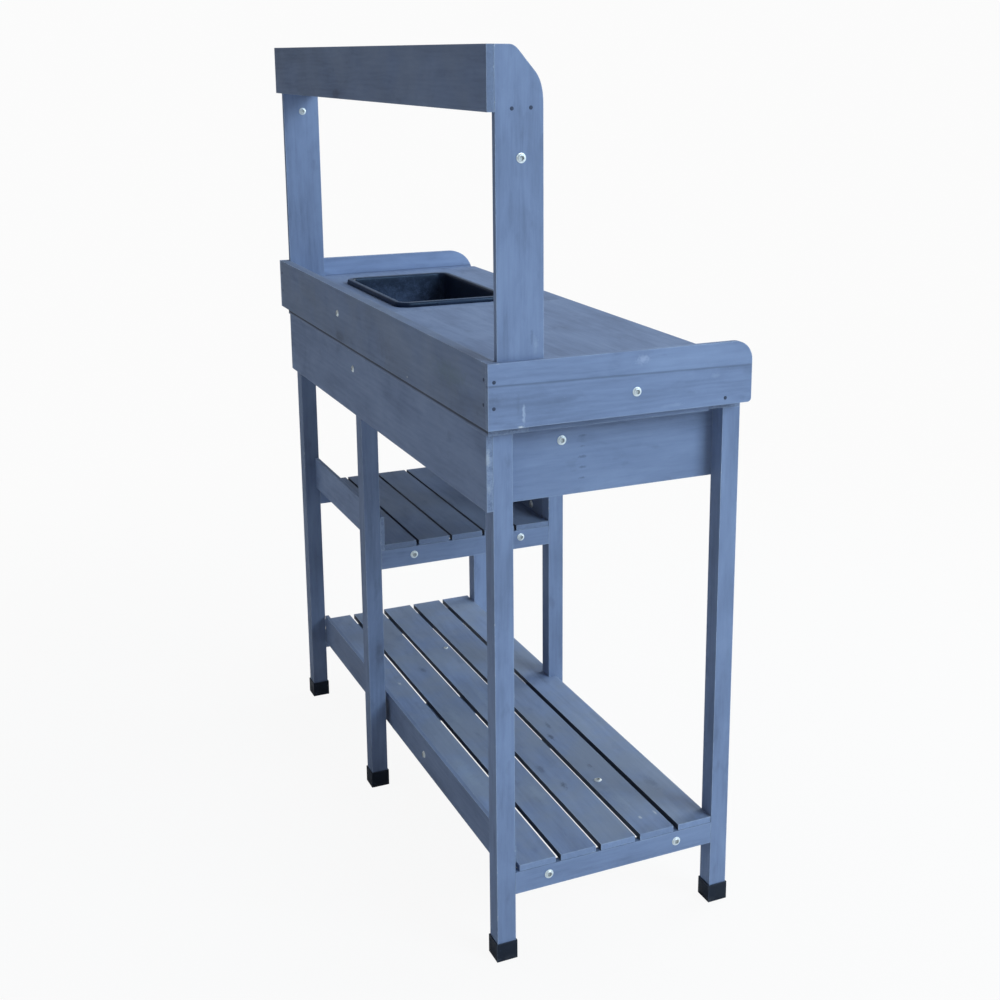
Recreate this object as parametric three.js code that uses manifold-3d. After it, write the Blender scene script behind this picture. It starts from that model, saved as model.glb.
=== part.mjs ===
// Potting bench: six square legs, slatted lower shelf over the whole length, slatted upper
// shelf over the right half, boxed work surface with a lift-out basin, and a rail on two uprights.
// Millimetres, +Z up. The bench is laid out with x running from the outer face of the left end
// legs, y = -depth where depth runs from the back face of the back legs towards the front,
// and z up from the floor. The outer group then moves the origin under the middle of the bench.
import * as THREE from "three";
import { mergeVertices } from "three/addons/utils/BufferGeometryUtils.js";
import Module from "manifold-3d";

const wasm = await Module();
wasm.setup();

// Driving dimensions
const GAP = 0.3; // clearance between pieces that touch
const LEG = 30; // square leg section
const LENGTH = 1060; // over the outer faces of the end legs
const DEPTH = 404; // over the front and back faces of the end legs
const MID_X = 596; // left face of the middle legs
const MID_BACK = -8; // the middle back leg stands this far behind the end legs
const MID_FRONT = 15; // the middle front leg is set back by this much
const BOARD = 10; // thin boards: slats, aprons, uprights, guards
const CAP_WALL = 1.5; // rubber foot cap
const CAP_FLOOR = 2;
const CAP_HEIGHT = 30;

const APRON_BOTTOM = 722;
const FRAME_BOTTOM = 835; // flat frame that carries the work surface
const PANEL_BOTTOM = 848;
const TABLE_BOTTOM = 894;
const TABLE_TOP = 906;
const PANEL_TOP = 942;
const OVERHANG = 30; // end panels stand outside the end legs by this much
const PANEL = 8; // end panel thickness
const BACK_OUT = 18.7; // outer face of the back panel behind the back legs
const BACK_PANEL = 17; // back panel thickness
const FRAME_OUT = 10; // back edge of the flat frame behind the back legs
const FRAME_END = 8; // its end boards stand this far outside the end legs
const FRAME_BOARD = 60; // width of the flat frame's boards
const LEFT_ROUND = 30; // round of the left end panel's top front corner
const RIGHT_ROUND = 50; // and of the right one, which also stops a little short
const RIGHT_SHORT = 5;
const PANEL_EASE = 6; // round of their bottom front corners
const BOARD_SEAM = 606; // seam between the two halves of the work surface

const UPRIGHT_WIDTH = 70;
const UPRIGHT_TOP = 1363;
const RAIL_HEIGHT = 87;
const RAIL = 11;
const TOP_SHELF_BOTTOM = 1277;

const CROSS = 12; // cross rail thickness
const CROSS_HEIGHT = 36;
const SLAT = 60; // slat width
const SLAT_COUNT = 5;
const LOWER_CROSS = 108; // bottom of the lower cross rails
const UPPER_CROSS = 432;
const BEARER = 20; // hidden bearers under the slats
const BEARER_BACK = 76;
const BEARER_FRONT = 306;
const GUARD = 7; // guard board thickness
const GUARD_HEIGHT = 60;
const LOWER_GUARD_RISE = 26; // the guards stand this far above their slats
const UPPER_GUARD_RISE = 54;
const SLAT_SETBACK = 1; // slats start this far inside the left cross rail's face
const LOWER_OVERRUN = 14; // lower slats run past the right end legs by this much
const UPPER_SHORTFALL = 15; // upper slats stop this far inside the right end legs' outer face

const BASIN = { left: 638, right: 974, back: 81, front: 301 };
const BASIN_LIP = 9; // width of the rim outside the walls
const BASIN_RIM = 9; // rim height above the work surface
const BASIN_DEPTH = 130;
const BASIN_WALL = 3;
const BASIN_TAPER = 10; // the walls lean in by this much at the floor
const BASIN_CORNER = 26;
const CUT_CLEARANCE = 1.5; // work surface cut-out round the basin walls

const BOLT_HEAD = 14;
const BOLT_HEAD_HEIGHT = 3;
const BOLT_CROWN = 5; // radius of the flat round the socket
const BOLT_SHANK = 6;
const BOLT_SOCKET = 5;
const BOLT_HOLE = 6.8;

// Materials
function finish(colour, roughness, metalness) {
  return () => new THREE.MeshStandardMaterial({ color: colour, roughness, metalness });
}
const stainedWood = finish(0x66799b, 0.75, 0);
const blackPlastic = finish(0x14161a, 0.45, 0);
const blackRubber = finish(0x101114, 0.8, 0);
const zinc = finish(0xb9bcb6, 0.35, 1);

const bench = new THREE.Group();

function add(name, geometry, material) {
  const mesh = new THREE.Mesh(geometry, material());
  mesh.name = name;
  bench.add(mesh);
  return mesh;
}

// A plain board between two x, two depths and two heights
function board(name, x0, x1, depth0, depth1, z0, z1, material = stainedWood) {
  const geometry = new THREE.BoxGeometry(x1 - x0, depth1 - depth0, z1 - z0);
  const mesh = add(name, geometry, material);
  mesh.position.set((x0 + x1) / 2, -(depth0 + depth1) / 2, (z0 + z1) / 2);
  return mesh;
}

// Outlines drawn flat and given a thickness
function outline(points) {
  return new THREE.Shape(points.map(([a, b]) => new THREE.Vector2(a, b)));
}

function slab(shape, thickness, curveSegments = 8) {
  return new THREE.ExtrudeGeometry(shape, { depth: thickness, bevelEnabled: false, curveSegments });
}

// A slab drawn in x and y, lying flat with its bottom at z0
function flat(name, shape, z0, z1) {
  const mesh = add(name, slab(shape, z1 - z0), stainedWood);
  mesh.position.z = z0;
  return mesh;
}

// A slab drawn in depth and height, standing across the bench from x0 to x1
function standing(shape, x0, x1) {
  const geometry = slab(shape, x1 - x0);
  geometry.applyMatrix4(new THREE.Matrix4().set(0, 0, -1, x1, -1, 0, 0, 0, 0, 1, 0, 0, 0, 0, 0, 1));
  return geometry;
}

// Boolean work
function toSolid(geometry) {
  const bare = geometry.clone();
  bare.deleteAttribute("normal");
  bare.deleteAttribute("uv");
  const merged = mergeVertices(bare, 1e-4);
  const vertProperties = new Float32Array(merged.attributes.position.array);
  const triVerts = new Uint32Array(merged.index.array);
  return new wasm.Manifold(new wasm.Mesh({ numProp: 3, vertProperties, triVerts }));
}

function fromSolid(solid) {
  const mesh = solid.getMesh();
  const geometry = new THREE.BufferGeometry();
  geometry.setAttribute("position", new THREE.BufferAttribute(mesh.vertProperties, 3));
  geometry.setIndex(new THREE.BufferAttribute(mesh.triVerts, 1));
  geometry.computeVertexNormals();
  return geometry;
}

function subtract(geometry, ...tools) {
  const solid = tools.reduce((rest, tool) => rest.subtract(toSolid(tool)), toSolid(geometry));
  return fromSolid(solid);
}

function boxAt(x0, x1, y0, y1, z0, z1) {
  const geometry = new THREE.BoxGeometry(x1 - x0, y1 - y0, z1 - z0);
  geometry.translate((x0 + x1) / 2, (y0 + y1) / 2, (z0 + z1) / 2);
  return geometry;
}

// A hole along x through everything between x0 and x1
function holeAlongX(x0, x1, depth, z) {
  const geometry = new THREE.CylinderGeometry(BOLT_HOLE / 2, BOLT_HOLE / 2, x1 - x0, 16);
  geometry.rotateZ(Math.PI / 2);
  geometry.translate((x0 + x1) / 2, -depth, z);
  return geometry;
}

// Legs and foot caps
const frontFace = DEPTH - LEG;
const legTop = FRAME_BOTTOM - GAP;
const midFrontFace = DEPTH - MID_FRONT;
const legPlaces = [
  ["leg_back_left", 0, 0],
  ["leg_front_left", 0, frontFace],
  ["leg_back_right", LENGTH - LEG, 0],
  ["leg_front_right", LENGTH - LEG, frontFace],
  ["leg_front_middle", MID_X, midFrontFace - LEG],
];
for (const [name, x, depth] of legPlaces) {
  board(name, x, x + LEG, depth, depth + LEG, CAP_FLOOR + GAP, legTop);
}

// The middle back leg is cut back at the top to go behind the apron
const midLegProfile = outline([
  [MID_BACK, CAP_FLOOR + GAP],
  [MID_BACK + LEG, CAP_FLOOR + GAP],
  [MID_BACK + LEG, legTop],
  [0, legTop],
  [0, APRON_BOTTOM - GAP],
  [MID_BACK, APRON_BOTTOM - GAP],
]);
add("leg_back_middle", standing(midLegProfile, MID_X, MID_X + LEG), stainedWood);

function footCap(name, x, depth) {
  const outer = boxAt(-CAP_WALL - GAP, LEG + CAP_WALL + GAP, -LEG - CAP_WALL - GAP, CAP_WALL + GAP, 0, CAP_HEIGHT);
  const socket = boxAt(-GAP, LEG + GAP, -LEG - GAP, GAP, CAP_FLOOR, CAP_HEIGHT + 1);
  const mesh = add(name, subtract(outer, socket), blackRubber);
  mesh.position.set(x, -depth, 0);
}
const capPlaces = [...legPlaces, ["leg_back_middle", MID_X, MID_BACK]];
for (const [name, x, depth] of capPlaces) {
  footCap(name.replace("leg", "foot_cap"), x, depth);
}

// Aprons
const apronTop = FRAME_BOTTOM - GAP;
board("apron_back", 0, LENGTH, -BOARD + GAP, -GAP, APRON_BOTTOM, apronTop);
board(
  "apron_front", LEG + GAP, LENGTH - LEG - GAP,
  midFrontFace + GAP, midFrontFace + GAP + BOARD, APRON_BOTTOM, apronTop,
);
board("apron_left", LEG + GAP, LEG + GAP + BOARD, GAP, midFrontFace - GAP, APRON_BOTTOM, apronTop);
board(
  "apron_right", LENGTH - LEG - GAP - BOARD, LENGTH - LEG - GAP,
  GAP, midFrontFace - GAP, APRON_BOTTOM, apronTop,
);

// Flat frame on top of the legs
const frameTop = PANEL_BOTTOM - GAP;
const frameEnd = LENGTH + FRAME_END;
const endFrameBack = -FRAME_OUT + FRAME_BOARD + GAP;
const endFrameFront = DEPTH - FRAME_BOARD - GAP;
board("table_frame_back", -FRAME_END, frameEnd, -FRAME_OUT, -FRAME_OUT + FRAME_BOARD, FRAME_BOTTOM, frameTop);
board("table_frame_front", 0, LENGTH, DEPTH - FRAME_BOARD, DEPTH, FRAME_BOTTOM, frameTop);
for (const [name, x0] of [["table_frame_left", -FRAME_END], ["table_frame_right", frameEnd - FRAME_BOARD]]) {
  board(name, x0, x0 + FRAME_BOARD, endFrameBack, endFrameFront, FRAME_BOTTOM, frameTop);
}

// Battens between the flat frame and the work surface, at the ends and under the seam,
// and a front board that closes the space between them
const BOLT_DEPTH = 211;
const BOLT_HEIGHT = 882;
const panelIn = OVERHANG - PANEL; // inner face of an end panel outside the end legs
const tableLeft = -panelIn + GAP;
const tableRight = LENGTH + panelIn - GAP;
const battenWidth = panelIn + BEARER;
const battenTop = TABLE_BOTTOM - GAP;
const frontBoardBack = DEPTH - BOARD;
const battenFront = frontBoardBack - GAP;
const uprightBack = -BACK_OUT + BACK_PANEL + GAP;
const uprightFront = uprightBack + UPRIGHT_WIDTH;
for (const [name, x0] of [["table_batten_left", tableLeft], ["table_batten_right", tableRight - battenWidth]]) {
  const body = boxAt(x0, x0 + battenWidth, -battenFront, -uprightFront - GAP, PANEL_BOTTOM, battenTop);
  const hole = holeAlongX(x0 - 1, x0 + battenWidth + 1, BOLT_DEPTH, BOLT_HEIGHT);
  add(name, subtract(body, hole), stainedWood);
}
board(
  "table_batten_middle", BOARD_SEAM - BEARER / 2, BOARD_SEAM + BEARER / 2,
  uprightBack, battenFront, PANEL_BOTTOM, battenTop,
);
board("table_front", tableLeft, tableRight, frontBoardBack, DEPTH, PANEL_BOTTOM, battenTop);

// Work surface in two halves; the right one has the cut-out for the basin
const cutLeft = BASIN.left + BASIN_LIP - CUT_CLEARANCE;
const cutRight = BASIN.right - BASIN_LIP + CUT_CLEARANCE;
const cutBack = BASIN.back + BASIN_LIP - CUT_CLEARANCE;
const cutFront = BASIN.front - BASIN_LIP + CUT_CLEARANCE;
const notch = BOARD + 2 * GAP; // room for an upright at each end
const leftBoard = outline([
  [tableLeft + notch, -uprightBack],
  [tableLeft + notch, -uprightFront - GAP],
  [tableLeft, -uprightFront - GAP],
  [tableLeft, -DEPTH],
  [BOARD_SEAM - GAP / 2, -DEPTH],
  [BOARD_SEAM - GAP / 2, -uprightBack],
]);
flat("table_board_left", leftBoard, TABLE_BOTTOM, TABLE_TOP);
const rightBoard = outline([
  [BOARD_SEAM + GAP / 2, -uprightBack],
  [BOARD_SEAM + GAP / 2, -DEPTH],
  [tableRight, -DEPTH],
  [tableRight, -uprightFront - GAP],
  [tableRight - notch, -uprightFront - GAP],
  [tableRight - notch, -uprightBack],
]);
rightBoard.holes.push(outline([
  [cutLeft, -cutBack],
  [cutRight, -cutBack],
  [cutRight, -cutFront],
  [cutLeft, -cutFront],
]));
flat("table_board_right", rightBoard, TABLE_BOTTOM, TABLE_TOP);

// Back panel and end panels
board("back_panel", tableLeft, tableRight, -BACK_OUT, -BACK_OUT + BACK_PANEL, PANEL_BOTTOM, PANEL_TOP);

function endPanelShape(front, round) {
  const shape = new THREE.Shape();
  shape.moveTo(-BACK_OUT, PANEL_BOTTOM);
  shape.lineTo(front - PANEL_EASE, PANEL_BOTTOM);
  shape.absarc(front - PANEL_EASE, PANEL_BOTTOM + PANEL_EASE, PANEL_EASE, -Math.PI / 2, 0, false);
  shape.lineTo(front, PANEL_TOP - round);
  shape.absarc(front - round, PANEL_TOP - round, round, 0, Math.PI / 2, false);
  shape.lineTo(-BACK_OUT, PANEL_TOP);
  return shape;
}
const endPanels = [
  ["end_panel_left", -OVERHANG, DEPTH, LEFT_ROUND],
  ["end_panel_right", LENGTH + panelIn, DEPTH - RIGHT_SHORT, RIGHT_ROUND],
];
for (const [name, x0, front, round] of endPanels) {
  const body = standing(endPanelShape(front, round), x0, x0 + PANEL);
  const hole = holeAlongX(x0 - 1, x0 + PANEL + 1, BOLT_DEPTH, BOLT_HEIGHT);
  add(name, subtract(body, hole), stainedWood);
}

// Uprights, rail and the narrow shelf between the uprights
const UPRIGHT_BOLT_DEPTH = 36;
const LEFT_BOLT_HEIGHT = 1216;
const RIGHT_BOLT_HEIGHT = 1240;
const SLOPE_START = 20; // the top edge runs level to here, then falls away
const SLOPE_SOFT = 14; // easing at the top of the slope
const SLOPE_SOFT_DROP = 8;
const SLOPE_FOOT_DROP = 32; // the straight of the slope ends this far down
const SLOPE_FOOT_BACK = 14; // and this far behind the front edge
const SLOPE_EASE_DROP = 46; // easing into the front edge
const SLOPE_END_DROP = 76;

function uprightShape() {
  const shape = new THREE.Shape();
  shape.moveTo(uprightBack, PANEL_BOTTOM);
  shape.lineTo(uprightFront, PANEL_BOTTOM);
  shape.lineTo(uprightFront, UPRIGHT_TOP - SLOPE_END_DROP);
  shape.quadraticCurveTo(
    uprightFront, UPRIGHT_TOP - SLOPE_EASE_DROP,
    uprightFront - SLOPE_FOOT_BACK, UPRIGHT_TOP - SLOPE_FOOT_DROP,
  );
  shape.lineTo(SLOPE_START + SLOPE_SOFT, UPRIGHT_TOP - SLOPE_SOFT_DROP);
  shape.quadraticCurveTo(SLOPE_START + SLOPE_SOFT / 2, UPRIGHT_TOP, SLOPE_START, UPRIGHT_TOP);
  shape.lineTo(uprightBack, UPRIGHT_TOP);
  return shape;
}
const uprights = [
  ["upright_left", tableLeft, LEFT_BOLT_HEIGHT],
  ["upright_right", tableRight - BOARD, RIGHT_BOLT_HEIGHT],
];
for (const [name, x0, boltHeight] of uprights) {
  const body = standing(uprightShape(), x0, x0 + BOARD);
  const hole = holeAlongX(x0 - 1, x0 + BOARD + 1, UPRIGHT_BOLT_DEPTH, boltHeight);
  add(name, subtract(body, hole), stainedWood);
}
board(
  "top_rail", tableLeft, tableRight, uprightBack - GAP - RAIL, uprightBack - GAP,
  UPRIGHT_TOP - RAIL_HEIGHT, UPRIGHT_TOP,
);
board(
  "top_shelf", tableLeft + BOARD + GAP, tableRight - BOARD - GAP, uprightBack, uprightFront,
  TOP_SHELF_BOTTOM, TOP_SHELF_BOTTOM + CROSS,
);

// Cross rails between the legs carry the slats
const legInner = LEG + GAP;
const midBackInner = MID_BACK + legInner;
const midFrontInner = midFrontFace - legInner;
const endFrontInner = DEPTH - legInner;
const rightCross = LENGTH - LEG;

function crossRail(name, x0, depth0, depth1, bottom) {
  board(name, x0, x0 + CROSS, depth0, depth1, bottom, bottom + CROSS_HEIGHT);
}

// Bearers run between two cross rails, under the slats
function bearers(prefix, x0, x1, bottom) {
  for (const [side, depth] of [["back", BEARER_BACK], ["front", BEARER_FRONT]]) {
    board(`${prefix}_bearer_${side}`, x0, x1, depth, depth + BEARER, bottom, bottom + CROSS_HEIGHT);
  }
}

// Start depths of equal slats spread between two depths
function slatDepths(depth0, depth1) {
  const pitch = (depth1 - depth0 - SLAT) / (SLAT_COUNT - 1);
  return Array.from({ length: SLAT_COUNT }, (_, i) => depth0 + i * pitch);
}

// Lower shelf: the guard stands behind the slats, against the back legs
const lowerBottom = LOWER_CROSS + CROSS_HEIGHT + GAP;
const lowerTop = lowerBottom + BOARD;
const lowerGuardFront = legInner + GUARD;
const lowerGuardTop = lowerTop + LOWER_GUARD_RISE;
crossRail("lower_cross_rail_left", 0, legInner, endFrontInner, LOWER_CROSS);
crossRail("lower_cross_rail_middle", MID_X, lowerGuardFront + GAP, midFrontInner, LOWER_CROSS);
crossRail("lower_cross_rail_right", rightCross, legInner, endFrontInner, LOWER_CROSS);
bearers("lower_left", CROSS + GAP, MID_X - GAP, LOWER_CROSS);
board(
  "lower_guard", CROSS + GAP, rightCross - GAP, legInner, lowerGuardFront,
  lowerGuardTop - GUARD_HEIGHT, lowerGuardTop,
);

// The front slat is notched round the middle front leg
const slatLeft = SLAT_SETBACK;
const slatRight = LENGTH + LOWER_OVERRUN;
slatDepths(lowerGuardFront + GAP, endFrontInner).forEach((depth, i) => {
  const front = depth + SLAT;
  const name = `lower_slat_${i + 1}`;
  if (i < SLAT_COUNT - 1) {
    board(name, slatLeft, slatRight, depth, front, lowerBottom, lowerTop);
    return;
  }
  const shape = outline([
    [slatLeft, -depth],
    [slatLeft, -front],
    [MID_X - GAP, -front],
    [MID_X - GAP, -midFrontInner],
    [MID_X + legInner, -midFrontInner],
    [MID_X + legInner, -front],
    [slatRight, -front],
    [slatRight, -depth],
  ]);
  flat(name, shape, lowerBottom, lowerTop);
});

// Upper shelf: a guard behind the slats and one in front, beside the middle leg
const upperBottom = UPPER_CROSS + CROSS_HEIGHT + GAP;
const upperTop = upperBottom + BOARD;
const upperGuardTop = upperTop + UPPER_GUARD_RISE;
const frontGuardBack = midFrontInner + GAP;
crossRail("upper_cross_rail_left", MID_X, midBackInner, midFrontInner, UPPER_CROSS);
crossRail("upper_cross_rail_right", rightCross, legInner, endFrontInner, UPPER_CROSS);
bearers("upper", MID_X + CROSS + GAP, rightCross - GAP, UPPER_CROSS);
board(
  "upper_guard_back", MID_X, rightCross - GAP, midBackInner, midBackInner + GUARD,
  upperBottom, upperGuardTop,
);
board(
  "upper_guard_front", MID_X + legInner, rightCross - GAP, frontGuardBack, frontGuardBack + GUARD,
  upperGuardTop - GUARD_HEIGHT, upperGuardTop,
);
slatDepths(legInner, midFrontInner - GUARD).forEach((depth, i) => {
  const end = LENGTH - UPPER_SHORTFALL;
  const front = i < SLAT_COUNT - 1 ? depth + SLAT : midFrontInner;
  board(`upper_slat_${i + 1}`, MID_X + SLAT_SETBACK, end, depth, front, upperBottom, upperTop);
});

// Basin: tapered tub with a rim that rests on the work surface
function roundedRect(width, length, corner) {
  const shape = new THREE.Shape();
  const x = width / 2;
  const y = length / 2;
  shape.moveTo(-x + corner, -y);
  shape.lineTo(x - corner, -y);
  shape.absarc(x - corner, -y + corner, corner, -Math.PI / 2, 0, false);
  shape.lineTo(x, y - corner);
  shape.absarc(x - corner, y - corner, corner, 0, Math.PI / 2, false);
  shape.lineTo(-x + corner, y);
  shape.absarc(-x + corner, y - corner, corner, Math.PI / 2, Math.PI, false);
  shape.lineTo(-x, -y + corner);
  shape.absarc(-x + corner, -y + corner, corner, Math.PI, Math.PI * 1.5, false);
  return shape;
}

// A tub from z0 up to z1 that is full size at the top and leans in towards the bottom
function taperedTub(width, length, corner, z0, z1, lean) {
  const geometry = slab(roundedRect(width, length, corner), z1 - z0, 6);
  const position = geometry.attributes.position;
  for (let i = 0; i < position.count; i += 1) {
    const low = 1 - position.getZ(i) / (z1 - z0);
    position.setX(i, position.getX(i) * (1 - (2 * lean * low) / width));
    position.setY(i, position.getY(i) * (1 - (2 * lean * low) / length));
  }
  geometry.translate(0, 0, z0);
  return geometry;
}

const basinWidth = BASIN.right - BASIN.left;
const basinLength = BASIN.front - BASIN.back;
const tubWidth = basinWidth - 2 * BASIN_LIP;
const tubLength = basinLength - 2 * BASIN_LIP;
const rim = slab(roundedRect(basinWidth, basinLength, BASIN_CORNER), BASIN_RIM, 6);
const tub = taperedTub(tubWidth, tubLength, BASIN_CORNER - BASIN_LIP, BASIN_RIM - BASIN_DEPTH, 1, BASIN_TAPER);
const hollow = taperedTub(
  tubWidth - 2 * BASIN_WALL, tubLength - 2 * BASIN_WALL, BASIN_CORNER - BASIN_LIP - BASIN_WALL,
  BASIN_RIM - BASIN_DEPTH + BASIN_WALL, BASIN_RIM + 1, BASIN_TAPER,
);
const basin = add("sink_basin", fromSolid(toSolid(rim).add(toSolid(tub)).subtract(toSolid(hollow))), blackPlastic);
basin.position.set(BASIN.left + basinWidth / 2, -BASIN.back - basinLength / 2, TABLE_TOP + GAP);

// Bolts: a low round head with a socket, and a shank, lying along x with the head at the left
function bolt(name, x, depth, z, grip, headOnLeft) {
  const radius = BOLT_HEAD / 2;
  const profile = [
    new THREE.Vector2(0, 0),
    new THREE.Vector2(BOLT_SHANK / 2, 0),
    new THREE.Vector2(BOLT_SHANK / 2, grip),
    new THREE.Vector2(radius, grip),
    new THREE.Vector2(radius, grip + BOLT_HEAD_HEIGHT / 2),
    new THREE.Vector2(BOLT_CROWN, grip + BOLT_HEAD_HEIGHT),
    new THREE.Vector2(0, grip + BOLT_HEAD_HEIGHT),
  ];
  const body = new THREE.LatheGeometry(profile, 24);
  const socket = new THREE.CylinderGeometry(BOLT_SOCKET / 2, BOLT_SOCKET / 2, BOLT_HEAD_HEIGHT, 6);
  socket.translate(0, grip + BOLT_HEAD_HEIGHT, 0);
  const mesh = add(name, fromSolid(toSolid(body).subtract(toSolid(socket))), zinc);
  mesh.rotation.z = headOnLeft ? Math.PI / 2 : -Math.PI / 2;
  mesh.position.set(x + (headOnLeft ? grip : -grip), -depth, z);
}
const panelGrip = PANEL + GAP + battenWidth;
bolt("end_panel_bolt_left", -OVERHANG - GAP, BOLT_DEPTH, BOLT_HEIGHT, panelGrip, true);
bolt("end_panel_bolt_right", LENGTH + OVERHANG + GAP, BOLT_DEPTH, BOLT_HEIGHT, panelGrip, false);
bolt("upright_bolt_left", tableLeft - GAP, UPRIGHT_BOLT_DEPTH, LEFT_BOLT_HEIGHT, BOARD + GAP, true);
bolt(
  "upright_bolt_right", tableRight - BOARD - GAP, UPRIGHT_BOLT_DEPTH, RIGHT_BOLT_HEIGHT,
  BOARD + GAP, true,
);

// Origin under the middle of the bench, on the floor
const backmost = -BACK_OUT;
const frontmost = DEPTH + CAP_WALL + GAP;
bench.position.set(-LENGTH / 2, (backmost + frontmost) / 2, 0);

export default bench;
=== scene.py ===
"""Looks of the potting bench: stained boards, a moulded basin, rubber feet and zinc bolts."""

import math
import random
from collections import namedtuple

import bmesh
import bpy
from mathutils import Matrix, Vector


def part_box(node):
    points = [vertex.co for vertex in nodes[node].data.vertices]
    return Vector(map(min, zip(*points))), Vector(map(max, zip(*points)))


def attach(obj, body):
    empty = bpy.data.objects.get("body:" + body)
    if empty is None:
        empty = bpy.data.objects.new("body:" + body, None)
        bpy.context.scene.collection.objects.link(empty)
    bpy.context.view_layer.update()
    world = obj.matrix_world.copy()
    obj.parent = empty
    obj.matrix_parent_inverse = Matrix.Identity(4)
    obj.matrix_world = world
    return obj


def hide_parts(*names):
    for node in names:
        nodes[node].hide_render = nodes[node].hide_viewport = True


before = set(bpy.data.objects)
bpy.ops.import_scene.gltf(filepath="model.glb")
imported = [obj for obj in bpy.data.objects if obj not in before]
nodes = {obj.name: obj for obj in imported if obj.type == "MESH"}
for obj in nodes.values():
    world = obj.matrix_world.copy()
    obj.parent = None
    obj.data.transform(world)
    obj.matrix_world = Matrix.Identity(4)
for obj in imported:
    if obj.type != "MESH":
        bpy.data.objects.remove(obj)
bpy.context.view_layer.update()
scene = bpy.context.scene
rng = random.Random(41)

MM = 0.001
LEFT, RIGHT, FRONT, BACK, UP = (-1, 0, 0), (1, 0, 0), (0, -1, 0), (0, 1, 0), (0, 0, 1)


def span(name):
    """Lowest and highest corner of a CAD node, in metres."""
    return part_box(name)


# ---------------------------------------------------------------- camera
# It looks YAW to the right of +X and PITCH down, and is turned by ROLL about its own axis
CAMERA_AT = Vector((-2.3020, 0.9197, 1.3448))
YAW, PITCH, ROLL = math.radians(25.584), math.radians(13.506), math.radians(0.183)
SENSOR_WIDTH, FOCAL_LENGTH = 36.0, 51.12
SHIFT_X, SHIFT_Y = -0.0719, -0.1006

camera_data = bpy.data.cameras.new("camera")
camera_data.sensor_width = SENSOR_WIDTH
camera_data.lens = FOCAL_LENGTH
camera_data.shift_x = SHIFT_X
camera_data.shift_y = SHIFT_Y
camera = bpy.data.objects.new("camera", camera_data)
scene.collection.objects.link(camera)
ahead = Vector((
    math.cos(YAW) * math.cos(PITCH), -math.sin(YAW) * math.cos(PITCH), -math.sin(PITCH),
))
level_right = ahead.cross(Vector(UP)).normalized()
level_up = level_right.cross(ahead)
camera_right = level_right * math.cos(ROLL) + level_up * math.sin(ROLL)
camera_up = level_up * math.cos(ROLL) - level_right * math.sin(ROLL)
turn = Matrix((camera_right, camera_up, -ahead)).transposed()
camera.matrix_world = Matrix.Translation(CAMERA_AT) @ turn.to_4x4()
scene.camera = camera


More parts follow.
